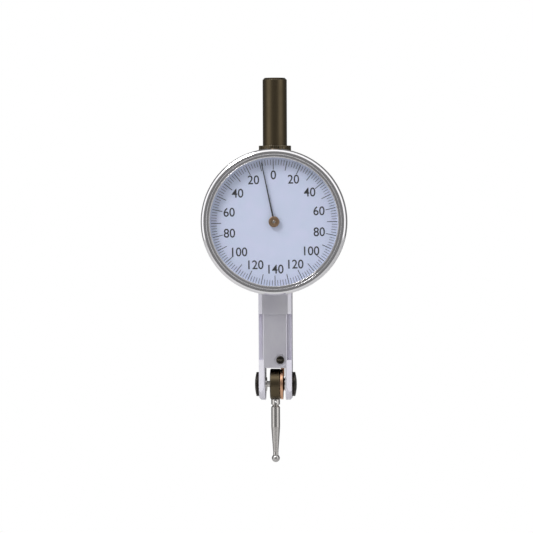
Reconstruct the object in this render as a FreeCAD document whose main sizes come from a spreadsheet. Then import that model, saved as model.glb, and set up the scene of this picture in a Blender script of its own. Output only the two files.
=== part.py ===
"""Lever-type dial test indicator as a parametric FreeCAD document, in millimetres.

Frame: the origin lies on the stem's axis where the stem leaves its collar. +Z runs up along the
stem, -Y points out of the dial towards its reader, and X is parallel to the stylus pivot.
Most sub-parts are drawn about one of four local centres, all on the stem's axis: the dial axis,
the sector pivot, the stylus pivot and the stem's shoulder itself.
"""
import FreeCAD, Part
import os
import re
import Sketcher

# Driving dimensions, in millimetres. Counts are whole numbers.
DIMENSIONS = {
    # Main distances along the stem's axis
    "neck_length": 4.8,          # bezel's rim to the step under the neck
    "arm_length": 17.5,          # that step to the stylus pivot
    "stylus_length": 18.4,       # stylus pivot to ball centre
    "travel_per_turn": 0.28,     # stylus travel for one turn of the pointer
    # Stem and its collar
    "stem_diameter": 6.0,
    "stem_length": 16.8,
    "stem_chamfer": 0.5,
    "spigot_diameter": 3.0,
    "spigot_engagement": 2.2,    # depth of the stem's spigot in the case
    "collar_diameter": 8.0,
    "collar_height": 1.2,
    "collar_teeth": 24,
    "collar_tooth_depth": 0.2,
    "collar_rim": 0.2,           # plain rim above and below the collar's teeth
    # Round case; its front and back are distances from the stem's axis
    "case_diameter": 34.8,
    "case_wall": 4.0,
    "case_front": 4.35,
    "case_back": 4.6,
    "case_edge": 0.35,
    "boss_rise": 0.2,            # case's rim to the collar that stands on its boss
    "boss_foot": 0.8,            # how far the boss reaches into the case's wall
    "nose_step": 0.7,            # case's rim to the nose that carries the turning bezel
    "nose_height": 0.85,
    "nose_wall": 0.7,
    "ledge_depth": 0.35,         # case front back to the movement plate's ledge
    "plate_thickness": 0.6,
    "plate_gap": 0.1,
    "cover_wall": 1.15,          # case's rim to the rear cover's seat
    "rear_cover_thickness": 0.8,
    "cover_edge": 0.175,
    "cover_gap": 0.05,
    "case_screw_inset": 1.4,     # cavity's wall to the case's screws
    "case_screw_depth": 1.6,
    # Arm below the case
    "arm_width": 8.2,
    "arm_depth": 7.8,
    "arm_flat": 5.6,             # width of the flat front and back
    "arm_bevel": 0.8,            # how far the bevels fall back at the sides
    "neck_flat": 6.4,
    "neck_bevel": 0.7,
    "groove_rise": 6.1,          # stylus pivot to the lower end of the dovetail grooves
    "groove_inset": 2.9,         # stem axis to a groove's inner wall at the arm's face
    "groove_slope": 0.25,        # how far that wall leans out on its way down
    "groove_floor_width": 0.15,
    "rail_neck": 5.0,            # depth of the dovetail rail between its groove floors
    "rail_depth": 6.1,           # depth of the rail at its outer face
    "slot_width": 5.0,
    "slot_rise": 4.15,           # stylus pivot to the top of the fork's slot
    "slot_overlap": 0.35,        # how far the arm's channel runs into that slot
    "tine_corner": 0.5,
    "channel_depth": 4.8,
    # Cover on the back of the arm
    "arm_cover_width": 4.8,
    "arm_cover_top": 2.2,        # case's rim to the cover's upper end
    "arm_cover_rise": 5.7,       # stylus pivot to the cover's lower end
    "arm_cover_thickness": 0.6,
    "arm_cover_ledge": 0.5,
    "arm_cover_land": 1.8,       # closed length under the cover at each end
    "arm_screw_depth": 0.8,
    # Small slotted screws
    "screw_head_diameter": 1.8,
    "screw_head_height": 0.4,
    "screw_shank_diameter": 1.0,
    "screw_slot_width": 0.3,
    "screw_slot_depth": 0.2,
    "head_gap": 0.05,
    # Adjusting screw on the front of the arm
    "front_screw_side": 1.25,
    "front_screw_rise": 6.1,     # stylus pivot to the screw
    "front_screw_diameter": 2.0,
    "front_screw_height": 0.45,
    "front_recess_diameter": 3.0,
    "front_recess_depth": 0.3,
    "front_screw_shank": 1.0,
    # Stylus pivot
    "cap_diameter": 6.0,
    "cap_height": 1.1,
    "cap_crown": 0.4,            # height of the dome above the plain rim
    "cap_slot_width": 0.7,
    "cap_slot_depth": 0.45,
    "cap_shank_diameter": 3.0,
    "journal_diameter": 1.0,
    "journal_length": 1.05,
    "running_gap": 0.02,
    "end_gap": 0.05,
    "washer_diameter": 3.4,
    "washer_thickness": 0.3,
    "shaft_diameter": 1.5,
    # Stylus and its hub
    "hub_diameter": 7.6,
    "hub_width": 2.55,
    "hub_side": 0.1,             # hub's middle plane to the left of the stem's axis
    "hub_edge": 0.2,
    "hub_recess_diameter": 3.8,
    "hub_recess_depth": 0.95,
    "clutch_spring_diameter": 3.2,
    "clutch_spring_thickness": 0.2,
    "clutch_nut_diameter": 2.8,
    "clutch_nut_width": 0.55,
    "thread_diameter": 1.4,
    "thread_length": 1.5,
    "stylus_collar_diameter": 2.2,
    "stylus_collar_length": 1.2,
    "tommy_hole_diameter": 0.5,  # cross-hole in the collar for a tightening pin
    "stylus_groove_diameter": 1.5,
    "stylus_groove_length": 0.7,
    "shank_diameter": 2.2,
    "shank_straight": 4.9,
    "shank_tip_diameter": 1.3,
    "shank_tip_length": 0.75,
    "ball_diameter": 2.0,
    # Measuring lever
    "lever_disc_diameter": 7.6,
    "lever_disc_thickness": 0.6,
    "lever_thickness": 0.9,
    "lever_dome_diameter": 4.2,
    "lever_dome_top": 2.8,
    "lever_dome_height": 0.3,
    "lever_width": 1.6,
    "lever_ring_diameter": 3.8,
    "lever_window_diameter": 2.1,
    "lever_pin_diameter": 0.7,
    "lever_pin_length": 1.6,
    "lever_pin_land": 1.4,
    "pin_gap": 0.03,
    # Sector and the arbor that it drives
    "sector_full_teeth": 280,    # teeth that a whole circle of the sector would have
    "sector_teeth": 12,
    "sector_module": 0.125,
    "arbor_leaves": 12,
    "sector_thickness": 0.6,
    "sector_arm_width": 1.4,
    "sector_rim": 1.1,
    "sector_hub_diameter": 2.6,
    "sector_hub_width": 1.4,
    "sector_tail_end": 1.0,
    "arbor_diameter": 0.9,
    "pivot_diameter": 0.5,
    "pivot_length": 0.6,
    "sector_screw_diameter": 2.0,
    "sector_screw_length": 1.6,
    "sector_screw_bore": 0.7,
    # Crown wheel and centre arbor
    "crown_teeth": 60,
    "crown_module": 0.1,
    "centre_leaves": 10,
    "crown_face": 0.5,           # radial width of the crown's teeth
    "crown_rim": 0.08,           # plain edge outside the teeth
    "crown_web": 0.65,
    "tooth_share": 0.42,         # tooth thickness as a share of the pitch
    "pressure_angle": 20,
    "tooth_height": 1.0,         # addendum in modules
    "tooth_root": 1.25,          # dedendum in modules
    "arbor_leaf_length": 0.9,
    "centre_leaf_length": 1.3,
    "centre_leaf_end": 2.4,      # stem axis to the rear end of the centre leaves
    "centre_shaft_diameter": 0.7,
    "centre_pivot_diameter": 0.4,
    # Bearing bridges behind the movement plate
    "bridge_inner": 2.8,
    "bridge_thickness": 0.8,
    "bridge_height": 4.4,
    "bridge_back": 1.2,
    "bridge_foot_length": 2.9,
    "bridge_foot_thickness": 0.8,
    "bridge_screw_side": 5.3,
    "finger_front": 2.1,
    "finger_back": 1.4,
    "finger_end": 0.6,
    "finger_top": 1.0,
    "finger_bottom": 0.55,
    "jewel_diameter": 1.6,
    "rear_jewel_diameter": 0.8,
    # Hairspring
    "collet_diameter": 1.8,
    "collet_gap": 0.4,           # movement plate to the collet
    "collet_height": 0.5,
    "spring_reach": 3.9,
    "spring_half_turns": 6,
    "spring_strip": 0.08,
    "spring_height": 0.3,
    "stud_width": 0.8,
    # Dial, crystal and bezel
    "glazing_lip": 0.5,          # overlap of the bezel's face on the crystal
    "dial_gap": 0.7,             # case's nose to the back of the dial
    "dial_thickness": 0.4,
    "dial_bore": 2.0,
    "retainer_height": 0.5,
    "retainer_width": 0.6,
    "gasket_height": 1.2,
    "gasket_width": 0.45,
    "crystal_thickness": 0.8,
    "crystal_bevel": 0.15,
    "bezel_overhang": 0.6,       # how far the bezel stands out past the case
    "bezel_face_width": 2.2,
    "bezel_skirt": 0.9,
    "bezel_lip": 0.4,
    "bezel_rise": 0.3,
    "bezel_inner_bevel": 0.2,
    "bezel_valley": 0.55,
    "bezel_land": 0.65,
    "bezel_chamfer": 0.4,        # radial width of the chamfer on the face's outer side
    "bezel_chamfer_fall": 0.22,
    "bezel_edge": 0.3,           # radial width of the steeper edge outside it
    "bezel_edge_fall": 0.5,
    "bezel_gap": 0.05,
    "snap_groove_rise": 0.3,     # case front to the snap ring's groove
    "snap_groove_width": 0.35,
    "snap_groove_depth": 0.2,
    "snap_ring_depth": 0.24,
    "snap_ring_height": 0.25,
    # Pointer
    "pointer_angle": 11.9,       # rest angle, anticlockwise from the top of the dial
    "pointer_tip_gap": 0.9,      # pointer's tip to the rim of the window
    "pointer_root_width": 0.42,
    "pointer_tip_width": 0.2,
    "pointer_gap": 0.45,         # dial to the pointer
    "pointer_thickness": 0.15,
    "pointer_eye_diameter": 2.0,
    "boss_diameter": 2.7,
    "boss_height": 0.4,
    "boss_edge": 0.15,
}

# Derived sizes, as expressions of the dimensions above
CASE_RADIUS = "(case_diameter / 2)"
CAVITY_RADIUS = f"({CASE_RADIUS} - case_wall)"
NOSE_RADIUS = f"({CASE_RADIUS} - nose_step)"
PLATE_SEAT = f"({NOSE_RADIUS} - nose_wall)"
PLATE_RADIUS = f"({PLATE_SEAT} - plate_gap)"
COVER_SEAT = f"({CASE_RADIUS} - cover_wall)"
COVER_RADIUS = f"({COVER_SEAT} - cover_gap)"
SCREW_CIRCLE = f"({CAVITY_RADIUS} + case_screw_inset)"
BEZEL_RADIUS = f"({CASE_RADIUS} + bezel_overhang)"
WINDOW_RADIUS = f"({BEZEL_RADIUS} - bezel_face_width)"
GLAZING_RADIUS = f"({WINDOW_RADIUS} + glazing_lip)"

BOSS_TOP = f"({CASE_RADIUS} + boss_rise)"
DIAL_DROP = f"({BOSS_TOP} + collar_height)"
NECK_DROP = f"({BEZEL_RADIUS} + neck_length)"
PIVOT_DROP = f"({NECK_DROP} + arm_length)"
DIAL_HEIGHT = f"(-{DIAL_DROP})"
PIVOT_HEIGHT = f"({DIAL_HEIGHT} - {PIVOT_DROP})"
GROOVE_END = f"({PIVOT_DROP} - groove_rise)"
FRONT_SCREW_DROP = f"({PIVOT_DROP} - front_screw_rise)"
ARM_COVER_TOP = f"({CASE_RADIUS} + arm_cover_top)"
ARM_COVER_END = f"({PIVOT_DROP} - arm_cover_rise)"

PLATE_LEDGE = "(case_front - ledge_depth)"
PLATE_FRONT = f"({PLATE_LEDGE} + plate_thickness)"
NOSE_FRONT = "(case_front + nose_height)"
SNAP_BACK = "(case_front + snap_groove_rise)"
SNAP_FRONT = f"({SNAP_BACK} + snap_groove_width)"
BEZEL_BACK = "(case_front + bezel_gap)"
COLLET_BACK = f"({PLATE_FRONT} + collet_gap)"
COLLET_FRONT = f"({COLLET_BACK} + collet_height)"
DIAL_BACK = f"({NOSE_FRONT} + dial_gap)"
DIAL_FRONT = f"({DIAL_BACK} + dial_thickness)"
CRYSTAL_BACK = f"({DIAL_FRONT} + gasket_height)"
CRYSTAL_FRONT = f"({CRYSTAL_BACK} + crystal_thickness)"
POINTER_BACK = f"({DIAL_FRONT} + pointer_gap)"
POINTER_FRONT = f"({POINTER_BACK} + pointer_thickness)"
BOSS_FRONT = f"({POINTER_FRONT} + boss_height)"

SECTOR_RADIUS = "(sector_full_teeth * sector_module / 2)"
LEAF_RADIUS = "(arbor_leaves * sector_module / 2)"
SECTOR_DROP = f"({SECTOR_RADIUS} + {LEAF_RADIUS})"
SECTOR_HEIGHT = f"({DIAL_HEIGHT} - {SECTOR_DROP})"
CROWN_RADIUS = "(crown_teeth * crown_module / 2)"
CENTRE_RADIUS = "(centre_leaves * crown_module / 2)"
GEAR_RATIO = "(sector_full_teeth / arbor_leaves * crown_teeth / centre_leaves)"
LEVER_RATIO = f"(2 * pi * stylus_length / (travel_per_turn * {GEAR_RATIO}))"
PIVOT_SPAN = f"({PIVOT_DROP} - {SECTOR_DROP})"
LOWER_REACH = f"({PIVOT_SPAN} / ({LEVER_RATIO} + 1))"
UPPER_REACH = f"({PIVOT_SPAN} / ({LEVER_RATIO} - 1))"
LOWER_PIN = f"({PIVOT_SPAN} - {LOWER_REACH})"
UPPER_PIN = f"({PIVOT_SPAN} + {UPPER_REACH})"
PIN_SIDE = "(sector_arm_width / 2 + lever_pin_diameter / 2 + pin_gap)"
HUB_LEFT = "(-hub_side - hub_width / 2)"
HUB_RIGHT = "(-hub_side + hub_width / 2)"
LEVER_LEFT = f"({HUB_RIGHT} + end_gap)"
SLOT_SIDE = "(slot_width / 2)"
BORE_END = f"({SLOT_SIDE} + journal_length + 2 * end_gap)"
BALL_FLAT = "(ball_diameter / 2 * cos(asin(shank_tip_diameter / ball_diameter)))"
SECTOR_SCREW_INNER = "(arm_width / 2 - sector_screw_length)"
CROWN_ROOT = f"(-{CENTRE_RADIUS} - tooth_root * crown_module)"
CROWN_TIP = f"(-{CENTRE_RADIUS} + tooth_height * crown_module)"

START, END, CENTRE = range(1, 4)     # point numbers on a sketch edge
ORIGIN = -1                          # the sketch's own origin
FULL_TURN = "360"
HALF_TURN = "180"

DOC = FreeCAD.newDocument("DialTestIndicator")
SHEET = DOC.addObject("Spreadsheet::Sheet", "Dims")
PARTS = []


def fill_sheet():
    """Write each dimension into the sheet: its name, its value and its alias."""
    for row, (name, number) in enumerate(DIMENSIONS.items(), start=1):
        SHEET.set(f"A{row}", name)
        SHEET.set(f"B{row}", str(number))
        SHEET.setAlias(f"B{row}", name)
    DOC.recompute()


def bound(expression):
    """Prefix every dimension's name in an expression with the sheet's name."""
    return re.sub(r"[a-z]\w*", lambda word: with_sheet(word[0]), expression)


def with_sheet(word):
    return f"{SHEET.Name}.{word}" if word in DIMENSIONS else word


def size_of(expression):
    return float(SHEET.evalExpression(bound(expression)))


def drive(item, path, expression):
    item.setExpression(path, bound(expression))


# ---------------------------------------------------------------- building blocks

def new_body(label, x="0", y="0", z="0"):
    """Start a sub-part whose local origin lies at (x, y, z) of the frame."""
    body = DOC.addObject("PartDesign::Body", label)
    body.Label = label
    for axis, expression in zip("xyz", (x, y, z)):
        drive(body, f"Placement.Base.{axis}", expression)
    PARTS.append(body)
    return body


def origin_feature(body, role):
    return next(item for item in body.Origin.OriginFeatures if item.Role == role)


def new_sketch(body, plane, level="0", turn="0", rise="0"):
    """Sketch on one of the body's planes, moved along its normal, turned and raised in it."""
    sketch = body.newObject("Sketcher::SketchObject", body.Label + "_sketch")
    sketch.AttachmentSupport = [(origin_feature(body, plane), "")]
    sketch.MapMode = "FlatFace"
    upright = FreeCAD.Rotation(FreeCAD.Vector(0, 0, 1), 0)
    sketch.AttachmentOffset = FreeCAD.Placement(FreeCAD.Vector(), upright)
    drive(sketch, "AttachmentOffset.Base.y", rise)
    drive(sketch, "AttachmentOffset.Base.z", level)
    drive(sketch, "AttachmentOffset.Rotation.Angle", turn)
    return sketch


def hold_point(sketch, edge, point, spot):
    """Fix a point of an edge at a driven distance from the sketch's origin."""
    for kind, expression in zip(("DistanceX", "DistanceY"), spot):
        rule = Sketcher.Constraint(kind, ORIGIN, START, edge, point, size_of(expression))
        number = sketch.addConstraint(rule)
        drive(sketch, f"Constraints[{number}]", expression)


def draw_polygon(sketch, corners):
    spots = [FreeCAD.Vector(size_of(u), size_of(v), 0) for u, v in corners]
    follow = spots[1:] + spots[:1]
    edges = [sketch.addGeometry(Part.LineSegment(a, b), False) for a, b in zip(spots, follow)]
    for edge, after in zip(edges, edges[1:] + edges[:1]):
        sketch.addConstraint(Sketcher.Constraint("Coincident", edge, END, after, START))
    for edge, corner in zip(edges, corners):
        hold_point(sketch, edge, START, corner)


def draw_circle(sketch, u, v, radius):
    centre = FreeCAD.Vector(size_of(u), size_of(v), 0)
    circle = Part.Circle(centre, FreeCAD.Vector(0, 0, 1), size_of(radius))
    edge = sketch.addGeometry(circle, False)
    hold_point(sketch, edge, CENTRE, (u, v))
    number = sketch.addConstraint(Sketcher.Constraint("Radius", edge, size_of(radius)))
    drive(sketch, f"Constraints[{number}]", radius)


def rectangle(left, right, bottom, top):
    return [(left, bottom), (right, bottom), (right, top), (left, top)]


def extrude(body, plane, low, high, polygons=(), circles=(), cut=False, turn="0"):
    """Pad or pocket outlines between two levels on the axis that the plane's name lacks.

    The normal of an XZ sketch points along -Y, so the levels swap ends there.
    """
    near, far = (f"-({high})", f"-({low})") if plane == "XZ_Plane" else (low, high)
    sketch = new_sketch(body, plane, far if cut else near, turn)
    for corners in polygons:
        draw_polygon(sketch, corners)
    for circle in circles:
        draw_circle(sketch, *circle)
    kind = "PartDesign::Pocket" if cut else "PartDesign::Pad"
    feature = body.newObject(kind, body.Label + ("_cut" if cut else "_pad"))
    feature.Profile = (sketch, [""])
    drive(feature, "Length", f"({high}) - ({low})")
    return feature


def extrude_between(body, plane, one, other, **outlines):
    """Extrude between two levels given in either order."""
    low, high = sorted((one, other), key=size_of)
    return extrude(body, plane, low, high, **outlines)


def revolve(body, axis, outline, cut=False, sweep=FULL_TURN, rise="0"):
    """Turn an outline of (position on the axis, radius) pairs about the X, Y or Z axis.

    A part turn is shared equally between both sides of the sketch; rise lifts an X axis.
    """
    if axis == "X":
        plane, edge, corners = "XZ_Plane", "H_Axis", outline
    else:
        plane, edge = ("XY_Plane" if axis == "Y" else "XZ_Plane"), "V_Axis"
        corners = [(radius, position) for position, radius in outline]
    sketch = new_sketch(body, plane, rise=rise)
    draw_polygon(sketch, corners)
    kind = "PartDesign::Groove" if cut else "PartDesign::Revolution"
    feature = body.newObject(kind, body.Label + ("_groove" if cut else "_turn"))
    feature.Profile = (sketch, [""])
    feature.ReferenceAxis = (sketch, [edge])
    feature.Midplane = sweep != FULL_TURN
    drive(feature, "Angle", sweep)
    return feature


def repeat(body, feature, axis, count, sweep=FULL_TURN, backwards=False):
    """Copy a feature about one of the body's own axes."""
    pattern = body.newObject("PartDesign::PolarPattern", body.Label + "_pattern")
    pattern.Originals = [feature]
    pattern.Axis = (origin_feature(body, axis), [""])
    pattern.Reversed = backwards
    drive(pattern, "Angle", sweep)
    drive(pattern, "Occurrences", count)
    body.Tip = pattern
    return pattern


def round_circle(radius, angles):
    """Centres spread on a circle, as (u, v) expressions."""
    return [(f"{radius} * cos({angle})", f"{radius} * sin({angle})") for angle in angles]


def tooth(module, pitch_radius, full_teeth):
    """Outline of one straight-sided tooth that points along +v, centred on u = 0."""
    half = f"tooth_share * pi * {pitch_radius} / {full_teeth}"
    slope = "tan(pressure_angle)"
    tip = f"({half} - tooth_height * {module} * {slope})"
    root = f"({half} + tooth_root * {module} * {slope})"
    foot = f"({pitch_radius} - (tooth_root + tooth_height) * {module})"
    base = f"({pitch_radius} - tooth_root * {module})"
    top = f"({pitch_radius} + tooth_height * {module})"
    return [(f"-{root}", foot), (root, foot), (root, base), (tip, top),
            (f"-{tip}", top), (f"-{root}", base)]


# ---------------------------------------------------------------- case and arm

CASE_SCREW_ANGLES = (30, 150, 270)
PLATE_SCREW_ANGLES = (45, 225)
ARM_SCREW_SPOTS = [("0", f"-{ARM_COVER_TOP} - arm_cover_land / 2"),
                   ("0", f"-{ARM_COVER_END} + arm_cover_land / 2")]


def body_frame():
    """One machined piece: round case, neck, dovetailed arm and fork."""
    body = new_body("body_frame", z=DIAL_HEIGHT)
    case_ring(body)
    arm_blocks(body)
    arm_openings(body)
    frame_screw_holes(body)


def case_ring(body):
    snap_floor = f"({NOSE_RADIUS} - snap_groove_depth / 2)"
    cover_floor = "(case_back - rear_cover_thickness)"
    revolve(body, "Y", [
        (f"-{PLATE_LEDGE}", CAVITY_RADIUS), (f"-{PLATE_LEDGE}", PLATE_SEAT),
        (f"-{NOSE_FRONT}", PLATE_SEAT), (f"-{NOSE_FRONT}", NOSE_RADIUS),
        (f"-{SNAP_FRONT}", NOSE_RADIUS), (f"-{SNAP_FRONT}", snap_floor),
        (f"-{SNAP_BACK}", snap_floor), (f"-{SNAP_BACK}", NOSE_RADIUS),
        ("-case_front", NOSE_RADIUS), ("-case_front", CASE_RADIUS),
        ("case_back - case_edge", CASE_RADIUS), ("case_back", f"{CASE_RADIUS} - case_edge"),
        ("case_back", COVER_SEAT), (cover_floor, COVER_SEAT), (cover_floor, CAVITY_RADIUS)])
    extrude(body, "XY_Plane", f"{CASE_RADIUS} - boss_foot", BOSS_TOP,
            circles=[("0", "0", "collar_diameter / 2")])


def arm_section(front, flat, bevel):
    """Rectangle with bevelled long edges; the back is as deep as the arm."""
    side, edge, back = "arm_width / 2", f"{flat} / 2", "arm_depth / 2"
    return [(f"-{edge}", f"-{front}"), (edge, f"-{front}"), (side, f"-{front} + {bevel}"),
            (side, f"{back} - arm_bevel"), ("arm_flat / 2", back), ("-arm_flat / 2", back),
            (f"-{side}", f"{back} - arm_bevel"), (f"-{side}", f"-{front} + {bevel}")]


def arm_blocks(body):
    """Arm and neck, then the rounding of the arm's lower end about the stylus pivot."""
    root, radius, side = f"-{NOSE_RADIUS}", "(arm_depth / 2)", "(arm_width / 2)"
    arm = arm_section(radius, "arm_flat", "arm_bevel")
    neck = arm_section("case_front", "neck_flat", "neck_bevel")
    extrude(body, "XY_Plane", f"-{PIVOT_DROP} - {radius}", root, polygons=[arm])
    extrude(body, "XY_Plane", f"-{NECK_DROP}", root, polygons=[neck])
    outer, clear = f"({side} + tine_corner)", f"(2 * {radius})"
    profile = [(f"-{outer}", f"{radius} - tine_corner"), (f"-{side}", f"{radius} - tine_corner"),
               (f"-{side} + tine_corner", radius), (f"{side} - tine_corner", radius),
               (side, f"{radius} - tine_corner"), (outer, f"{radius} - tine_corner"),
               (outer, clear), (f"-{outer}", clear)]
    below = [(position, f"-({distance})") for position, distance in profile]
    revolve(body, "X", below, cut=True, sweep=HALF_TURN, rise=f"-{PIVOT_DROP}")


def arm_openings(body):
    slot_top = f"-({PIVOT_DROP} - slot_rise)"
    half_channel = "channel_depth / 2"
    extrude(body, "XY_Plane", f"{slot_top} - slot_overlap", f"-({CAVITY_RADIUS} - case_edge)",
            cut=True,
            polygons=[rectangle(f"-{SLOT_SIDE}", SLOT_SIDE, f"-{half_channel}", half_channel)])
    extrude(body, "XY_Plane", f"-({PIVOT_DROP} + arm_depth)", slot_top, cut=True,
            polygons=[rectangle(f"-{SLOT_SIDE}", SLOT_SIDE, "-arm_depth", "arm_depth")])
    for side in ("", "-"):
        for face in ("", "-"):
            extrude(body, "XY_Plane", f"-{GROOVE_END}", f"-{NECK_DROP}", cut=True,
                    polygons=[dovetail_groove(side, face)])
    arm_cover_opening(body)


def dovetail_groove(side, face):
    """Undercut beside one rail; the signs choose the rail and its front or back groove."""
    wall, mouth, floor = "(groove_inset + groove_slope)", "arm_depth / 2", "rail_neck / 2"
    outline = [("groove_inset", mouth), (wall, floor), (f"{wall} + groove_floor_width", floor),
               ("arm_width / 2", "rail_depth / 2"), ("arm_width / 2", mouth)]
    return [(f"{side}({u})", f"{face}({v})") for u, v in outline]


def arm_cover_opening(body):
    back = "arm_depth / 2"
    half = "(arm_cover_width / 2 + cover_gap)"
    floor = f"({back} - arm_cover_thickness)"
    extrude(body, "XZ_Plane", floor, f"2 * {back}", cut=True,
            polygons=[rectangle(f"-{half}", half, f"-{ARM_COVER_END} - cover_gap",
                                f"-{ARM_COVER_TOP} + cover_gap")])
    window = "(arm_cover_width / 2 - arm_cover_ledge)"
    extrude(body, "XZ_Plane", "0", floor, cut=True,
            polygons=[rectangle(f"-{window}", window, f"-{ARM_COVER_END} + arm_cover_land",
                                f"-{ARM_COVER_TOP} - arm_cover_land")])


def frame_screw_holes(body):
    shank = "screw_shank_diameter / 2"
    rear_floor = "(case_back - rear_cover_thickness)"
    extrude(body, "XZ_Plane", f"{rear_floor} - case_screw_depth", rear_floor, cut=True,
            circles=[spot + (shank,) for spot in round_circle(SCREW_CIRCLE, CASE_SCREW_ANGLES)])
    extrude(body, "XZ_Plane", f"-{PLATE_LEDGE}", f"-{PLATE_LEDGE} + case_screw_depth", cut=True,
            circles=[spot + (shank,) for spot in round_circle(SCREW_CIRCLE, PLATE_SCREW_ANGLES)])
    cover_floor = "(arm_depth / 2 - arm_cover_thickness)"
    extrude(body, "XZ_Plane", f"{cover_floor} - arm_screw_depth", cover_floor, cut=True,
            circles=[spot + (shank,) for spot in ARM_SCREW_SPOTS])
    front = "(-arm_depth / 2)"
    spot = ("front_screw_side", f"-{FRONT_SCREW_DROP}")
    extrude(body, "XZ_Plane", front, f"{front} + front_recess_depth", cut=True,
            circles=[spot + ("front_recess_diameter / 2",)])
    extrude(body, "XZ_Plane", front, f"{front} + front_recess_depth + front_screw_shank",
            cut=True, circles=[spot + (shank,)])
    extrude(body, "XY_Plane", f"{BOSS_TOP} - spigot_engagement", BOSS_TOP, cut=True,
            circles=[("0", "0", "spigot_diameter / 2")])
    extrude(body, "YZ_Plane", "-arm_width", "arm_width", cut=True,
            circles=[("0", f"-{PIVOT_DROP}", "cap_shank_diameter / 2"),
                     ("0", f"-{SECTOR_DROP}", "sector_screw_diameter / 2")])


def stem():
    body = new_body("stem")
    radius, spigot = "stem_diameter / 2", "spigot_diameter / 2"
    foot = "(-collar_height - spigot_engagement)"
    revolve(body, "Z", [(foot, "0"), (foot, spigot), ("0", spigot), ("0", radius),
                        ("stem_length - stem_chamfer", radius),
                        ("stem_length", f"{radius} - stem_chamfer"), ("stem_length", "0")])


def stem_collar():
    """Knurled ring clamped between the stem's shoulder and the case."""
    body = new_body("stem_collar")
    radius, bore = "collar_diameter / 2", "spigot_diameter / 2"
    revolve(body, "Z", [("-collar_height", bore), ("-collar_height", radius),
                        ("0", radius), ("0", bore)])
    floor = f"({radius} - collar_tooth_depth)"
    half = f"(pi * {radius} / collar_teeth / 2)"
    notch = extrude(body, "XY_Plane", "-collar_height + collar_rim", "-collar_rim", cut=True,
                    polygons=[[("0", floor), (half, f"{radius} + collar_rim"),
                               (f"-{half}", f"{radius} + collar_rim")]])
    DOC.recompute()
    repeat(body, notch, "Z_Axis", "collar_teeth")


def slotted_screws(label, face, depth, spots, front=False):
    """Screws along Y in one node: heads on the face, shanks going in to the given depth."""
    body = new_body(label, z=DIAL_HEIGHT)
    out, inward = "-+" if front else "+-"
    head_top = f"({face} {out} screw_head_height)"
    shank_end = f"({face} {inward} ({depth}))"
    slot_floor = f"({head_top} {inward} screw_slot_depth)"
    shanks = [spot + ("screw_shank_diameter / 2",) for spot in spots]
    heads = [spot + ("screw_head_diameter / 2",) for spot in spots]
    extrude_between(body, "XZ_Plane", face, shank_end, circles=shanks)
    extrude_between(body, "XZ_Plane", face, head_top, circles=heads)
    slots = [rectangle(f"{u} - screw_head_diameter", f"{u} + screw_head_diameter",
                       f"{v} - screw_slot_width / 2", f"{v} + screw_slot_width / 2")
             for u, v in spots]
    extrude_between(body, "XZ_Plane", slot_floor, head_top, polygons=slots, cut=True)


def rear_cover():
    body = new_body("rear_cover", z=DIAL_HEIGHT)
    floor = "(case_back - rear_cover_thickness)"
    revolve(body, "Y", [(floor, "0"), (floor, COVER_RADIUS),
                        ("case_back - cover_edge", COVER_RADIUS),
                        ("case_back", f"{COVER_RADIUS} - cover_edge"), ("case_back", "0")])
    spots = round_circle(SCREW_CIRCLE, CASE_SCREW_ANGLES)
    extrude(body, "XZ_Plane", "case_back - screw_head_height", "case_back", cut=True,
            circles=[spot + ("screw_head_diameter / 2 + head_gap",) for spot in spots])
    extrude(body, "XZ_Plane", floor, "case_back", cut=True,
            circles=[spot + ("screw_shank_diameter / 2",) for spot in spots])
    shank = "rear_cover_thickness - screw_head_height + case_screw_depth"
    slotted_screws("rear_cover_screws", "(case_back - screw_head_height)", shank, spots)


def arm_cover():
    body = new_body("arm_cover", z=DIAL_HEIGHT)
    back, half = "(arm_depth / 2)", "(arm_cover_width / 2)"
    extrude(body, "XZ_Plane", f"{back} - arm_cover_thickness", back,
            polygons=[rectangle(f"-{half}", half, f"-{ARM_COVER_END}", f"-{ARM_COVER_TOP}")])
    extrude(body, "XZ_Plane", f"{back} - arm_cover_thickness", back, cut=True,
            circles=[spot + ("screw_shank_diameter / 2",) for spot in ARM_SCREW_SPOTS])
    slotted_screws("arm_cover_screws", back, "arm_cover_thickness + arm_screw_depth",
                   ARM_SCREW_SPOTS)


def front_screw():
    """Dark adjusting screw set in a shallow recess on the front of the arm."""
    body = new_body("front_screw", x="front_screw_side",
                    z=f"{DIAL_HEIGHT} - {FRONT_SCREW_DROP}")
    seat = "(-arm_depth / 2 + front_recess_depth)"
    radius, edge = "front_screw_diameter / 2", "screw_slot_depth / 2"
    top = f"({seat} - front_screw_height)"
    revolve(body, "Y", [(top, "0"), (top, f"{radius} - {edge}"), (f"{top} + {edge}", radius),
                        (seat, radius), (seat, "screw_shank_diameter / 2"),
                        (f"{seat} + front_screw_shank", "screw_shank_diameter / 2"),
                        (f"{seat} + front_screw_shank", "0")])
    extrude(body, "XZ_Plane", top, f"{top} + screw_slot_depth", cut=True,
            polygons=[rectangle("-front_screw_diameter", "front_screw_diameter",
                                "-screw_slot_width / 2", "screw_slot_width / 2")])


# ---------------------------------------------------------------- stylus pivot

DOME_STEPS = ("1", "0.7", "0.4", "0")     # shares of the cap's radius, from its rim inwards


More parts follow.
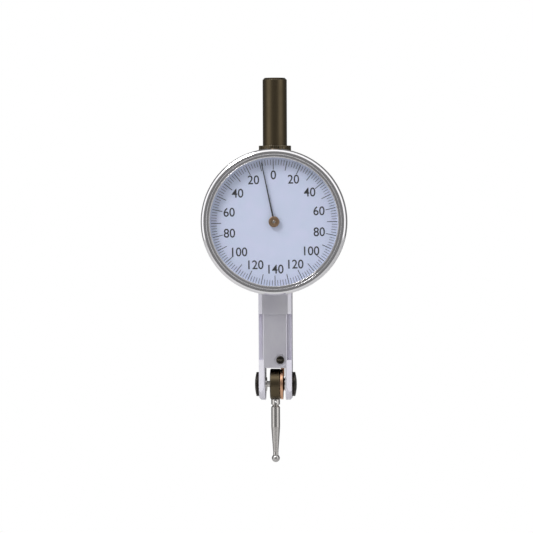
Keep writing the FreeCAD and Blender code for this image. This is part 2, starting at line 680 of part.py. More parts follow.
def pivot_screw(label, side):
    """Domed screw in one tine, with a blind bore for the lever shaft's journal."""
    body = new_body(label, z=PIVOT_HEIGHT)
    face, shank, cap = "(arm_width / 2)", "cap_shank_diameter / 2", "(cap_diameter / 2)"
    top = f"({face} + cap_height)"
    bore, bore_end = "(journal_diameter / 2 + running_gap)", BORE_END
    dome = [(f"{top} - cap_crown * {share} ^ 2", f"{cap} * {share}") for share in DOME_STEPS]
    outline = [(SLOT_SIDE, bore), (SLOT_SIDE, shank), (face, shank), (face, cap), *dome,
               (bore_end, "0"), (bore_end, bore)]
    revolve(body, "X", [(f"{side}({position})", radius) for position, radius in outline])
    extrude_between(body, "YZ_Plane", f"{side}{top}", f"{side}({top} - cap_slot_depth)",
                    cut=True, polygons=[rectangle("-cap_slot_width / 2", "cap_slot_width / 2",
                                                  "-cap_diameter", "cap_diameter")])


def pivot_washer(label, side):
    body = new_body(label, z=PIVOT_HEIGHT)
    inner = f"({SLOT_SIDE} - washer_thickness)"
    rings = [("0", "0", "washer_diameter / 2"), ("0", "0", "journal_diameter / 2 + running_gap")]
    extrude_between(body, "YZ_Plane", f"{side}{SLOT_SIDE}", f"{side}{inner}", circles=rings)


def lever_shaft():
    body = new_body("lever_shaft", z=PIVOT_HEIGHT)
    shoulder = f"({SLOT_SIDE} - washer_thickness - end_gap)"
    end = f"({SLOT_SIDE} + journal_length)"
    radius, journal = "shaft_diameter / 2", "journal_diameter / 2"
    revolve(body, "X", [(f"-{end}", "0"), (f"-{end}", journal), (f"-{shoulder}", journal),
                        (f"-{shoulder}", radius), (shoulder, radius), (shoulder, journal),
                        (end, journal), (end, "0")])


def measuring_lever():
    """Friction disc on the shaft, and an arm with a driving pin each side of the sector's pivot."""
    body = new_body("measuring_lever", z=PIVOT_HEIGHT)
    left = LEVER_LEFT
    disc_right = f"({left} + lever_disc_thickness)"
    dome_right = f"({disc_right} + lever_dome_height)"
    bore, disc = "shaft_diameter / 2", "lever_disc_diameter / 2"
    revolve(body, "X", [(left, bore), (left, disc), (disc_right, disc),
                        (disc_right, "lever_dome_diameter / 2"),
                        (dome_right, "lever_dome_top / 2"), (dome_right, bore)])
    right = f"({left} + lever_thickness)"
    half = "lever_width / 2"
    arm = [(f"-{half}", f"{disc} / 2"), (half, f"{disc} / 2"), (half, UPPER_PIN),
           (f"-{half}", UPPER_PIN)]
    extrude(body, "YZ_Plane", left, right, polygons=[arm])
    extrude(body, "YZ_Plane", left, right,
            circles=[("0", PIVOT_SPAN, "lever_ring_diameter / 2")])
    land = "lever_pin_land / 2"
    spots = [(f"-{PIN_SIDE}", LOWER_PIN), (PIN_SIDE, UPPER_PIN)]
    for spot in spots:
        extrude(body, "YZ_Plane", left, right, circles=[spot + (land,)])
        extrude(body, "YZ_Plane", f"{left} - lever_pin_length", left,
                circles=[spot + ("lever_pin_diameter / 2",)])
    extrude(body, "YZ_Plane", left, right, cut=True,
            circles=[("0", PIVOT_SPAN, "lever_window_diameter / 2")])


def clutch_parts():
    """Spring washer and nut in the hub's recess; they press the hub against the lever."""
    floor = f"({HUB_LEFT} + hub_recess_depth)"
    spring_right = f"({floor} - end_gap)"
    spring_left = f"({spring_right} - clutch_spring_thickness)"
    bore = ("0", "0", "shaft_diameter / 2")
    spring = new_body("clutch_spring", z=PIVOT_HEIGHT)
    extrude(spring, "YZ_Plane", spring_left, spring_right,
            circles=[("0", "0", "clutch_spring_diameter / 2"), bore])
    nut = new_body("clutch_nut", z=PIVOT_HEIGHT)
    extrude(nut, "YZ_Plane", f"{spring_left} - clutch_nut_width", spring_left,
            circles=[("0", "0", "clutch_nut_diameter / 2"), bore])


def stylus_hub():
    """Blackened disc that swivels on the lever's shaft and holds the stylus."""
    body = new_body("stylus_hub", z=PIVOT_HEIGHT)
    radius, edge = "hub_diameter / 2", "hub_edge"
    bore, recess = "(shaft_diameter / 2 + running_gap)", "hub_recess_diameter / 2"
    floor = f"({HUB_LEFT} + hub_recess_depth)"
    revolve(body, "X", [(floor, bore), (floor, recess), (HUB_LEFT, recess),
                        (HUB_LEFT, f"{radius} - {edge}"), (f"{HUB_LEFT} + {edge}", radius),
                        (f"{HUB_RIGHT} - {edge}", radius), (HUB_RIGHT, f"{radius} - {edge}"),
                        (HUB_RIGHT, bore)])
    extrude(body, "XY_Plane", f"-{radius} - {edge}", f"-{radius} + thread_length", cut=True,
            circles=[("-hub_side", "0", "thread_diameter / 2")])


def stylus_shank():
    """Screwed stylus: thread, drilled collar, groove, straight body and taper."""
    body = new_body("stylus_shank", x="-hub_side", z=PIVOT_HEIGHT)
    seat = "(-hub_diameter / 2)"
    thread_top = f"({seat} + thread_length)"
    collar_end = f"({seat} - stylus_collar_length)"
    groove_end = f"({collar_end} - stylus_groove_length)"
    straight_end = f"({groove_end} - shank_straight)"
    tip = f"(-stylus_length + {BALL_FLAT})"
    taper_end = f"({tip} + shank_tip_length)"
    collar, groove = "stylus_collar_diameter / 2", "stylus_groove_diameter / 2"
    shank, end = "shank_diameter / 2", "shank_tip_diameter / 2"
    revolve(body, "Z", [(thread_top, "0"), (thread_top, "thread_diameter / 2"),
                        (seat, "thread_diameter / 2"), (seat, collar), (collar_end, collar),
                        (f"({collar_end} + {groove_end}) / 2", groove), (groove_end, shank),
                        (straight_end, shank), (taper_end, end), (tip, end), (tip, "0")])
    extrude(body, "XZ_Plane", "-stylus_collar_diameter", "stylus_collar_diameter", cut=True,
            circles=[("0", f"({seat} + {collar_end}) / 2", "tommy_hole_diameter / 2")])


def contact_ball():
    """Ball with the flat by which it is brazed to the shank's tip."""
    ball = DOC.addObject("Part::Sphere", "contact_ball")
    ball.Label = "contact_ball"
    drive(ball, "Radius", "ball_diameter / 2")
    drive(ball, "Angle2", "acos(shank_tip_diameter / ball_diameter)")
    drive(ball, "Placement.Base.x", "-hub_side")
    drive(ball, "Placement.Base.z", f"{PIVOT_HEIGHT} - stylus_length")
    PARTS.append(ball)


# ---------------------------------------------------------------- gear train

def sector_gear():
    """Sector on its pivot: toothed rim above, slotted tail below for the lever's pins."""
    body = new_body("sector_gear", z=SECTOR_HEIGHT)
    side, half = "sector_thickness / 2", "sector_arm_width / 2"
    base = f"({SECTOR_RADIUS} - tooth_root * sector_module)"
    pitch = "(360 / sector_full_teeth)"
    rim_inner = f"({base} - sector_rim)"
    revolve(body, "X", [(f"-{side}", rim_inner), (side, rim_inner), (side, base),
                        (f"-{side}", base)], sweep=f"(sector_teeth + 1) * {pitch}")
    extrude(body, "YZ_Plane", f"-{side}", side,
            polygons=[rectangle(f"-{half}", half, f"-{LOWER_REACH} - sector_tail_end",
                                f"{rim_inner} + sector_rim / 2")])
    extrude(body, "YZ_Plane", "-sector_hub_width / 2", "sector_hub_width / 2",
            circles=[("0", "0", "sector_hub_diameter / 2")])
    extrude(body, "YZ_Plane", "-sector_hub_width", "sector_hub_width", cut=True,
            circles=[("0", "0", "arbor_diameter / 2")])
    first = extrude(body, "YZ_Plane", f"-{side}", side, turn=f"(sector_teeth - 1) / 2 * {pitch}",
                    polygons=[tooth("sector_module", SECTOR_RADIUS, "sector_full_teeth")])
    DOC.recompute()
    repeat(body, first, "X_Axis", "sector_teeth", f"(sector_teeth - 1) * {pitch}", True)


def sector_arbor():
    body = new_body("sector_arbor", z=SECTOR_HEIGHT)
    shoulder = f"({SECTOR_SCREW_INNER} - end_gap)"
    pivoted_shaft(body, shoulder, f"({SECTOR_SCREW_INNER} + pivot_length)")


def pivoted_shaft(body, shoulder, end):
    """Shaft along X with a thin pivot at each end."""
    radius, pivot = "arbor_diameter / 2", "pivot_diameter / 2"
    revolve(body, "X", [(f"-{end}", "0"), (f"-{end}", pivot), (f"-{shoulder}", pivot),
                        (f"-{shoulder}", radius), (shoulder, radius), (shoulder, pivot),
                        (end, pivot), (end, "0")])


def sector_pivot_screws():
    """Two headless screws in the neck that carry the sector's pivots, in one node."""
    body = new_body("sector_pivot_screws", z=SECTOR_HEIGHT)
    outer, inner = "(arm_width / 2)", SECTOR_SCREW_INNER
    bore_end = f"({inner} + sector_screw_bore)"
    slot_floor = f"({outer} - screw_slot_depth)"
    slot = rectangle("-sector_screw_diameter", "sector_screw_diameter",
                     "-screw_slot_width / 2", "screw_slot_width / 2")
    for side in ("", "-"):
        extrude_between(body, "YZ_Plane", f"{side}{inner}", f"{side}{outer}",
                        circles=[("0", "0", "sector_screw_diameter / 2")])
        extrude_between(body, "YZ_Plane", f"{side}{inner}", f"{side}{bore_end}", cut=True,
                        circles=[("0", "0", "pivot_diameter / 2 + running_gap")])
        extrude_between(body, "YZ_Plane", f"{side}{slot_floor}", f"{side}{outer}", cut=True,
                        polygons=[slot])


def crown_wheel():
    """Contrate wheel: its teeth stand out sideways from the rim and turn the centre pinion."""
    body = new_body("crown_wheel", z=DIAL_HEIGHT)
    outer = f"({CROWN_RADIUS} + crown_face / 2 + crown_rim)"
    back = f"({CROWN_ROOT} - crown_web)"
    bore = "arbor_diameter / 2"
    revolve(body, "X", [(back, bore), (back, outer), (CROWN_ROOT, outer), (CROWN_ROOT, bore)])
    half = "(tooth_share * pi * crown_module / 2)"
    slope = "tan(pressure_angle)"
    tip = f"({half} - tooth_height * crown_module * {slope})"
    root = f"({half} + tooth_root * crown_module * {slope})"
    sunk = f"({CROWN_ROOT} - tooth_root * crown_module)"
    corners = [(sunk, f"-{root}"), (CROWN_ROOT, f"-{root}"), (CROWN_TIP, f"-{tip}"),
               (CROWN_TIP, tip), (CROWN_ROOT, root), (sunk, root)]
    first = extrude(body, "XZ_Plane", f"-{CROWN_RADIUS} - crown_face / 2",
                    f"-{CROWN_RADIUS} + crown_face / 2", polygons=[corners])
    DOC.recompute()
    repeat(body, first, "X_Axis", "crown_teeth")


def crown_arbor():
    """Arbor of the crown wheel with the leaves that the sector drives."""
    body = new_body("crown_arbor", z=DIAL_HEIGHT)
    pivoted_shaft(body, "(bridge_inner - end_gap)", "(bridge_inner + pivot_length)")
    root = f"({LEAF_RADIUS} - tooth_root * sector_module)"
    low, high = "-arbor_leaf_length / 2", "arbor_leaf_length / 2"
    extrude(body, "YZ_Plane", low, high, circles=[("0", "0", root)])
    first = extrude(body, "YZ_Plane", low, high,
                    polygons=[tooth("sector_module", LEAF_RADIUS, "arbor_leaves")])
    DOC.recompute()
    repeat(body, first, "X_Axis", "arbor_leaves")


def centre_pinion():
    """Arbor on the dial axis: rear pivot, leaves, and the shaft that carries the pointer."""
    body = new_body("centre_pinion", z=DIAL_HEIGHT)
    shaft, pivot = "centre_shaft_diameter / 2", "centre_pivot_diameter / 2"
    leaf_front = "(-centre_leaf_end - centre_leaf_length)"
    rear = "(-finger_back - end_gap)"
    root = f"({CENTRE_RADIUS} - tooth_root * crown_module)"
    revolve(body, "Y", [(rear, "0"), (rear, pivot), ("-centre_leaf_end", pivot),
                        ("-centre_leaf_end", root), (leaf_front, root), (leaf_front, shaft),
                        (f"-{BOSS_FRONT}", shaft), (f"-{BOSS_FRONT}", "0")])
    first = extrude(body, "XZ_Plane", leaf_front, "-centre_leaf_end",
                    polygons=[tooth("crown_module", CENTRE_RADIUS, "centre_leaves")])
    DOC.recompute()
    repeat(body, first, "Y_Axis", "centre_leaves")


# ---------------------------------------------------------------- movement plate and bearings

BRIDGE_SCREW_SPOTS = [("-bridge_screw_side", "0"), ("bridge_screw_side", "0")]


def movement_plate():
    """Round plate on the case's front ledge, with the front jewel and the bridges behind it."""
    body = new_body("movement_plate", z=DIAL_HEIGHT)
    extrude(body, "XZ_Plane", f"-{PLATE_FRONT}", f"-{PLATE_LEDGE}",
            circles=[("0", "0", PLATE_RADIUS), ("0", "0", "jewel_diameter / 2")])
    spots = round_circle(SCREW_CIRCLE, PLATE_SCREW_ANGLES)
    shanks = [spot + ("screw_shank_diameter / 2",) for spot in spots + BRIDGE_SCREW_SPOTS]
    extrude(body, "XZ_Plane", f"-{PLATE_FRONT}", f"-{PLATE_LEDGE}", cut=True, circles=shanks)
    slotted_screws("movement_plate_screws", f"-{PLATE_FRONT}",
                   "plate_thickness + case_screw_depth", spots, front=True)
    slotted_screws("bridge_screws", f"-{PLATE_FRONT}",
                   "plate_thickness + bridge_foot_thickness", BRIDGE_SCREW_SPOTS, front=True)


def bridge(label, side):
    """Angle bracket behind the plate; side is the sign of its X position."""
    body = new_body(label, z=DIAL_HEIGHT)
    outer = "(bridge_inner + bridge_thickness)"
    foot_end = f"({outer} + bridge_foot_length)"
    foot_front, foot_back = f"-{PLATE_LEDGE}", f"(-{PLATE_LEDGE} + bridge_foot_thickness)"
    outline = [("bridge_inner", foot_front), (foot_end, foot_front), (foot_end, foot_back),
               (outer, foot_back), (outer, "bridge_back"), ("bridge_inner", "bridge_back")]
    half = "bridge_height / 2"
    extrude(body, "XY_Plane", f"-{half}", half,
            polygons=[[(f"{side}({u})", v) for u, v in outline]])
    if side == "":
        finger = rectangle("-finger_end", "bridge_inner + bridge_thickness / 2",
                           "-finger_front", "-finger_back")
        extrude(body, "XY_Plane", "-finger_bottom", "finger_top", polygons=[finger])
        extrude(body, "XZ_Plane", "-finger_front", "-finger_back", cut=True,
                circles=[("0", "0", "rear_jewel_diameter / 2")])
    extrude_between(body, "YZ_Plane", f"{side}(bridge_inner)", f"{side}{outer}", cut=True,
                    circles=[("0", "0", "jewel_diameter / 2")])
    extrude(body, "XZ_Plane", foot_front, foot_back, cut=True,
            circles=[(f"{side}bridge_screw_side", "0", "screw_shank_diameter / 2")])


def jewels():
    """Ring bearings: two on the dial axis and two on the crown arbor."""
    centre = new_body("centre_jewels", z=DIAL_HEIGHT)
    extrude(centre, "XZ_Plane", f"-{PLATE_FRONT}", f"-{PLATE_LEDGE}",
            circles=[("0", "0", "jewel_diameter / 2"),
                     ("0", "0", "centre_shaft_diameter / 2 + running_gap")])
    extrude(centre, "XZ_Plane", "-finger_front", "-finger_back",
            circles=[("0", "0", "rear_jewel_diameter / 2"),
                     ("0", "0", "centre_pivot_diameter / 2 + running_gap")])
    arbor = new_body("arbor_jewels", z=DIAL_HEIGHT)
    rings = [("0", "0", "jewel_diameter / 2"), ("0", "0", "pivot_diameter / 2 + running_gap")]
    outer = "(bridge_inner + bridge_thickness)"
    extrude(arbor, "YZ_Plane", "bridge_inner", outer, circles=rings)
    extrude(arbor, "YZ_Plane", f"-{outer}", "-bridge_inner", circles=rings)


def hairspring_parts():
    collet = new_body("hairspring_collet", z=DIAL_HEIGHT)
    extrude(collet, "XZ_Plane", f"-{COLLET_FRONT}", f"-{COLLET_BACK}",
            circles=[("0", "0", "collet_diameter / 2"),
                     ("0", "0", "centre_shaft_diameter / 2")])
    hairspring()
    stud = new_body("hairspring_stud", z=DIAL_HEIGHT)
    middle = "(spring_reach - spring_strip / 2)"
    extrude(stud, "XZ_Plane", f"-{COLLET_FRONT}", f"-{PLATE_FRONT}",
            polygons=[rectangle(f"{middle} - stud_width / 2", f"{middle} + stud_width / 2",
                                "0", "stud_width")])


def hairspring():
    """Flat strip of half circles about two centres in turn, wider by one step each time."""
    count = round(size_of("spring_half_turns"))
    inner = size_of("collet_diameter / 2")
    strip = size_of("spring_strip")
    step = (size_of("spring_reach") - inner - strip) / count
    back = -size_of(f"{COLLET_BACK} + (collet_height - spring_height) / 2")
    inside, outside = [], []
    for number in range(count):
        sign = 1 if number % 2 == 0 else -1
        middle = 0 if sign == 1 else -step
        for arcs, radius in ((inside, inner + number * step),
                             (outside, inner + number * step + strip)):
            start = FreeCAD.Vector(middle - sign * radius, back, 0)
            crest = FreeCAD.Vector(middle, back, sign * radius)
            end = FreeCAD.Vector(middle + sign * radius, back, 0)
            arcs.append(Part.Arc(start, crest, end).toShape())
    caps = [Part.makeLine(inside[0].firstVertex().Point, outside[0].firstVertex().Point),
            Part.makeLine(inside[-1].lastVertex().Point, outside[-1].lastVertex().Point)]
    edges = Part.__sortEdges__(inside + outside + caps)
    strip_face = Part.Face(Part.Wire(edges))
    spring = DOC.addObject("Part::Feature", "hairspring")
    spring.Label = "hairspring"
    spring.Shape = strip_face.extrude(FreeCAD.Vector(0, -size_of("spring_height"), 0))
    drive(spring, "Placement.Base.z", DIAL_HEIGHT)
    PARTS.append(spring)


# ---------------------------------------------------------------- dial, bezel and pointer

def ring(label, inner, outer, low, high):
    """Plain ring about the dial axis."""
    body = new_body(label, z=DIAL_HEIGHT)
    extrude(body, "XZ_Plane", low, high, circles=[("0", "0", outer), ("0", "0", inner)])


def bezel():
    """Chromed ring with a grooved face, turning on the case's nose."""
    body = new_body("bezel", z=DIAL_HEIGHT)
    bore = f"({NOSE_RADIUS} + bezel_gap)"
    snap = f"({bore} + snap_groove_depth)"
    seat = f"(-{BEZEL_BACK} - bezel_skirt)"
    lip = f"(-{CRYSTAL_FRONT})"
    face = f"({lip} - bezel_lip)"
    crest = f"({face} - bezel_rise)"
    valley = f"({WINDOW_RADIUS} + bezel_inner_bevel)"
    land = f"({BEZEL_RADIUS} - bezel_edge - bezel_chamfer)"
    revolve(body, "Y", [
        (f"-{BEZEL_BACK}", bore), (f"-{SNAP_BACK}", bore), (f"-{SNAP_BACK}", snap),
        (f"-{SNAP_FRONT}", snap), (f"-{SNAP_FRONT}", bore), (seat, bore),
        (seat, GLAZING_RADIUS), (lip, GLAZING_RADIUS), (lip, WINDOW_RADIUS),
        (f"{face} + bezel_inner_bevel", WINDOW_RADIUS),
        (face, valley), (face, f"{valley} + bezel_valley"),
        (crest, f"{land} - bezel_land"), (crest, land),
        (f"{crest} + bezel_chamfer_fall", f"{BEZEL_RADIUS} - bezel_edge"),
        (f"{crest} + bezel_chamfer_fall + bezel_edge_fall", BEZEL_RADIUS),
        (f"-{BEZEL_BACK}", BEZEL_RADIUS)])


def glazing_parts():
    """Dial, its retainer, gasket and crystal in the bezel's bore, and the bezel's snap ring."""
    ring("dial_plate", "dial_bore / 2", GLAZING_RADIUS, f"-{DIAL_FRONT}", f"-{DIAL_BACK}")
    ring("dial_retainer", f"{GLAZING_RADIUS} - retainer_width", GLAZING_RADIUS,
         f"-{DIAL_BACK}", f"-{DIAL_BACK} + retainer_height")
    ring("crystal_gasket", f"{GLAZING_RADIUS} - gasket_width", GLAZING_RADIUS,
         f"-{CRYSTAL_BACK}", f"-{DIAL_FRONT}")
    snap_outer = f"({NOSE_RADIUS} + bezel_gap + snap_groove_depth - running_gap)"
    snap_middle = f"(({SNAP_FRONT} + {SNAP_BACK}) / 2)"
    ring("bezel_snap_ring", f"({snap_outer} - snap_ring_depth)", snap_outer,
         f"-{snap_middle} - snap_ring_height / 2", f"-{snap_middle} + snap_ring_height / 2")
    crystal = new_body("crystal", z=DIAL_HEIGHT)
    revolve(crystal, "Y", [(f"-{CRYSTAL_BACK}", "0"), (f"-{CRYSTAL_BACK}", GLAZING_RADIUS),
                           (f"-{CRYSTAL_FRONT} + crystal_bevel", GLAZING_RADIUS),
                           (f"-{CRYSTAL_FRONT}", f"{GLAZING_RADIUS} - crystal_bevel"),
                           (f"-{CRYSTAL_FRONT}", "0")])


def pointer():
    """Thin hand that narrows towards its tip, with a round eye pressed on the centre shaft."""
    body = new_body("pointer", z=DIAL_HEIGHT)
    body.Placement.Rotation = FreeCAD.Rotation(FreeCAD.Vector(0, 1, 0), 0)
    drive(body, "Placement.Rotation.Angle", "-pointer_angle")
    low, high = f"-{POINTER_FRONT}", f"-{POINTER_BACK}"
    root, tip = "pointer_root_width / 2", "pointer_tip_width / 2"
    length = f"({WINDOW_RADIUS} - pointer_tip_gap)"
    extrude(body, "XZ_Plane", low, high, circles=[("0", "0", "pointer_eye_diameter / 2")])
    extrude(body, "XZ_Plane", low, high,
            polygons=[[(f"-{root}", "0"), (root, "0"), (tip, length), (f"-{tip}", length)]])
    extrude(body, "XZ_Plane", low, high, cut=True,
            circles=[("0", "0", "centre_shaft_diameter / 2")])


def pointer_boss():
    body = new_body("pointer_boss", z=DIAL_HEIGHT)
    radius, bore = "(boss_diameter / 2)", "centre_shaft_diameter / 2"
    revolve(body, "Y", [(f"-{POINTER_FRONT}", bore), (f"-{POINTER_FRONT}", radius),
                        (f"-{BOSS_FRONT} + boss_edge", radius),
                        (f"-{BOSS_FRONT}", f"{radius} - boss_edge"), (f"-{BOSS_FRONT}", bore)])


# ---------------------------------------------------------------- assembly and output

def build():
    body_frame()
    stem()
    stem_collar()
    rear_cover()
    arm_cover()
    front_screw()
    for label, side in (("pivot_screw_left", "-"), ("pivot_screw_right", "")):
        pivot_screw(label, side)
    for label, side in (("pivot_washer_left", "-"), ("pivot_washer_right", "")):
        pivot_washer(label, side)
    lever_shaft()
    measuring_lever()
    clutch_parts()
    stylus_hub()
    stylus_shank()
    contact_ball()
    sector_gear()
    sector_arbor()
    sector_pivot_screws()
    crown_wheel()
    crown_arbor()
    centre_pinion()
    movement_plate()
    for label, side in (("bridge_left", "-"), ("bridge_right", "")):
        bridge(label, side)
    jewels()
    hairspring_parts()
    bezel()
    glazing_parts()
    pointer()
    pointer_boss()
    DOC.recompute()


def check():
    """Stop if any object failed to compute or any sub-part is not a sound solid."""
    failed = [item.Label for item in DOC.Objects if {"Invalid", "Error"} & set(item.State)]
    if failed:
        raise RuntimeError("failed objects: " + ", ".join(failed))
    for part in PARTS:
        if part.Shape.isNull() or not part.Shape.isValid() or not part.Shape.Solids:
            raise RuntimeError("bad shape: " + part.Label)


def write():
    os.makedirs("parts", exist_ok=True)
    for part in PARTS:
        part.Shape.exportStep(f"parts/{part.Label}.step")


fill_sheet()
build()
check()
write()
print(f"{len(PARTS)} sub-parts")
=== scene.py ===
"""Looks of the lever-type dial test indicator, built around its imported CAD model. Metres, +Z up."""
import math

import bmesh
import bpy
from mathutils import Matrix, Vector


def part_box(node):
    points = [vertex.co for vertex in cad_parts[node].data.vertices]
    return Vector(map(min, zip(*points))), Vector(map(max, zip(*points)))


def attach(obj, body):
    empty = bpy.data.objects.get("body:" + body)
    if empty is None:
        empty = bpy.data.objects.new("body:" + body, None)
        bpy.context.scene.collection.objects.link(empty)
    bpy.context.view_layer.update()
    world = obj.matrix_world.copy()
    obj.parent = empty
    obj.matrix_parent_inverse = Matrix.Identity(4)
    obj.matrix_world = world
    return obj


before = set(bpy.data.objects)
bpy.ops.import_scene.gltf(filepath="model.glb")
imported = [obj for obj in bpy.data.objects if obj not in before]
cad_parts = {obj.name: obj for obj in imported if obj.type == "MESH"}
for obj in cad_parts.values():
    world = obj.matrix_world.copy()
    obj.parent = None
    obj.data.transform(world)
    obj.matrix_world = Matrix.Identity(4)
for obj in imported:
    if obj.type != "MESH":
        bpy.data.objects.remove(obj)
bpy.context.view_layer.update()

MM = 0.001

# ---------------------------------------------------------------- places read from the frame


def middle(node):
    low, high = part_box(node)
    return (low + high) / 2


DIAL = middle("dial_plate")
DIAL_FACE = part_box("dial_plate")[0].y
PIVOT = middle("lever_shaft")
SHANK = middle("stylus_shank")
FRONT_SCREW = middle("front_screw")

# ---------------------------------------------------------------- shader toolkit


class Finish:
    """A Principled material, with helpers that add pattern nodes to it."""

    def __init__(self, name, colour, roughness, metallic=0.0):
        self.material = bpy.data.materials.new(name)
        self.material.use_nodes = True
        self.tree = self.material.node_tree
        self.tree.nodes.clear()
        self.output = self.add("ShaderNodeOutputMaterial")
        self.surface = self.add("ShaderNodeBsdfPrincipled")
        self.link(self.surface.outputs["BSDF"], self.output.inputs["Surface"])
        self.surface.inputs["Base Color"].default_value = (*colour, 1)
        self.surface.inputs["Roughness"].default_value = roughness
        self.surface.inputs["Metallic"].default_value = metallic
        self.place = self.add("ShaderNodeTexCoord").outputs["Object"]

    def add(self, kind, **settings):
        node = self.tree.nodes.new(kind)
        for name, value in settings.items():
            setattr(node, name, value)
        return node

    def link(self, source, target):
        self.tree.links.new(source, target)

    def feed(self, target, value):
        if isinstance(value, bpy.types.NodeSocket):
            self.link(value, target)
        else:
            target.default_value = value

    def math(self, operation, first, second=0.0, clamp=False):
        node = self.add("ShaderNodeMath", operation=operation, use_clamp=clamp)
        self.feed(node.inputs[0], first)
        self.feed(node.inputs[1], second)
        return node.outputs[0]

    def vector(self, operation, first, second=(0, 0, 0)):
        node = self.add("ShaderNodeVectorMath", operation=operation)
        self.feed(node.inputs[0], first)
        self.feed(node.inputs[1], second)
        return node.outputs[0]

    def span(self, value, low, high, new_low=0.0, new_high=1.0):
        node = self.add("ShaderNodeMapRange", clamp=True)
        self.feed(node.inputs["Value"], value)
        for name, number in (("From Min", low), ("From Max", high),
                             ("To Min", new_low), ("To Max", new_high)):
            node.inputs[name].default_value = number
        return node.outputs["Result"]

    def noise(self, scale, detail=3.0, stretch=(1, 1, 1), place=None):
        node = self.add("ShaderNodeTexNoise")
        self.feed(node.inputs["Vector"], self.vector("MULTIPLY", place or self.place, stretch))
        node.inputs["Scale"].default_value = scale
        node.inputs["Detail"].default_value = detail
        return node.outputs["Fac"]

    def lathe_lines(self, axis, centre, pitch):
        """Fine random rings about an axis, as a lathe leaves them on faces and rims."""
        across = tuple(0.0 if number == axis else 1.0 for number in range(3))
        along = tuple(1.0 if number == axis else 0.0 for number in range(3))
        offset = self.vector("SUBTRACT", self.place, tuple(centre))
        length = self.add("ShaderNodeVectorMath", operation="LENGTH")
        self.link(self.vector("MULTIPLY", offset, across), length.inputs[0])
        depth = self.add("ShaderNodeVectorMath", operation="DOT_PRODUCT")
        self.link(offset, depth.inputs[0])
        depth.inputs[1].default_value = along
        line = self.add("ShaderNodeTexNoise", noise_dimensions="1D")
        self.link(self.math("ADD", length.outputs["Value"], depth.outputs["Value"]),
                  line.inputs["W"])
        line.inputs["Scale"].default_value = 1 / pitch
        line.inputs["Detail"].default_value = 2.0
        return line.outputs["Fac"]

    def edges(self, radius):
        """1 on sharp edges within the radius, 0 elsewhere."""
        bevel = self.add("ShaderNodeBevel", samples=6)
        bevel.inputs["Radius"].default_value = radius
        sharp = self.add("ShaderNodeVectorMath", operation="DOT_PRODUCT")
        self.link(bevel.outputs["Normal"], sharp.inputs[0])
        self.link(self.add("ShaderNodeNewGeometry").outputs["Normal"], sharp.inputs[1])
        return self.span(sharp.outputs["Value"], 0.995, 0.9)

    def tint(self, share, colour):
        """Blend towards another colour where share is 1, on top of what is there."""
        mix = self.add("ShaderNodeMix", data_type="RGBA")
        base = self.surface.inputs["Base Color"]
        self.feed(mix.inputs["Factor"], share)
        if base.is_linked:
            self.link(base.links[0].from_socket, mix.inputs["A"])
        else:
            mix.inputs["A"].default_value = base.default_value
        mix.inputs["B"].default_value = (*colour, 1)
        self.link(mix.outputs["Result"], base)

    def rough(self, value):
        self.feed(self.surface.inputs["Roughness"], value)

    def bump(self, height, depth, soften=0.0):
        """Bump from a height; a soften radius rounds sharp edges as well."""
        node = self.add("ShaderNodeBump")
        node.inputs["Strength"].default_value = 1.0
        node.inputs["Distance"].default_value = depth
        self.feed(node.inputs["Height"], height)
        if soften:
            bevel = self.add("ShaderNodeBevel", samples=6)
            bevel.inputs["Radius"].default_value = soften
            self.link(bevel.outputs["Normal"], node.inputs["Normal"])
        self.link(node.outputs["Normal"], self.surface.inputs["Normal"])


# ---------------------------------------------------------------- finishes

X_AXIS, Y_AXIS, Z_AXIS = 0, 1, 2


def machined(name, colour, roughness, axis=None, centre=(0, 0, 0), pitch=0.06 * MM,
             depth=0.0008 * MM, wear=None, soften=0.05 * MM, mottle=0.06):
    """Bare, plated or blackened metal with lathe lines or ground grain, smudges and worn edges."""
    finish = Finish(name, colour, roughness, metallic=1.0)
    smudge = finish.noise(260, 4)
    dark = tuple(channel * (1 - 2 * mottle) for channel in colour)
    finish.tint(finish.span(smudge, 0.35, 0.75, 0, 1), dark)
    if axis is None:
        grain = finish.noise(5200, 3, stretch=(1, 1, 0.06))
    else:
        grain = finish.lathe_lines(axis, centre, pitch)
    if wear:
        finish.tint(finish.math("MULTIPLY", finish.edges(0.12 * MM),
                                finish.span(finish.noise(900, 3), 0.35, 0.6)), wear)
    uneven = finish.math("ADD", finish.span(grain, 0.3, 0.7, -0.04, 0.04),
                         finish.span(smudge, 0.3, 0.7, -0.03, 0.05))
    finish.rough(finish.math("ADD", uneven, roughness, clamp=True))
    finish.bump(grain, depth, soften)
    return finish.material


def satin_chrome(name="satin_chrome_body"):
    """Pearly bead-blasted chrome: a fine matte grain, with a painted highlight that lightens every
    sharp edge.
    """
    finish = Finish(name, (0.69, 0.67, 0.76), 0.36, metallic=0.85)
    cloud = finish.noise(150, 5)
    finish.tint(finish.span(cloud, 0.3, 0.7), (0.73, 0.72, 0.78))
    # Painted highlight: all sharp edges are lightened evenly, standing in for the glints that light
    # puts along them.
    finish.tint(finish.math("MULTIPLY", finish.edges(0.1 * MM), 0.7), (0.9, 0.89, 0.92))
    speck = finish.noise(9000, 2)
    finish.rough(finish.math("ADD", finish.span(speck, 0.3, 0.7, 0.31, 0.42),
                             finish.span(cloud, 0.3, 0.7, -0.03, 0.03)))
    finish.bump(speck, 0.0015 * MM, 0.06 * MM)
    return finish.material


def enamel():
    """Pale blue-lavender dial paint with a faint mottle and a satin face."""
    finish = Finish("dial_enamel_blue", (0.53, 0.59, 0.76), 0.42)
    finish.tint(finish.span(finish.noise(420, 4), 0.35, 0.7), (0.57, 0.6, 0.79))
    finish.tint(finish.span(finish.noise(3600, 2), 0.5, 0.8, 0, 0.5), (0.6, 0.68, 0.79))
    grain = finish.noise(7000, 2)
    finish.rough(finish.span(grain, 0.3, 0.7, 0.36, 0.48))
    finish.bump(grain, 0.0006 * MM)
    return finish.material


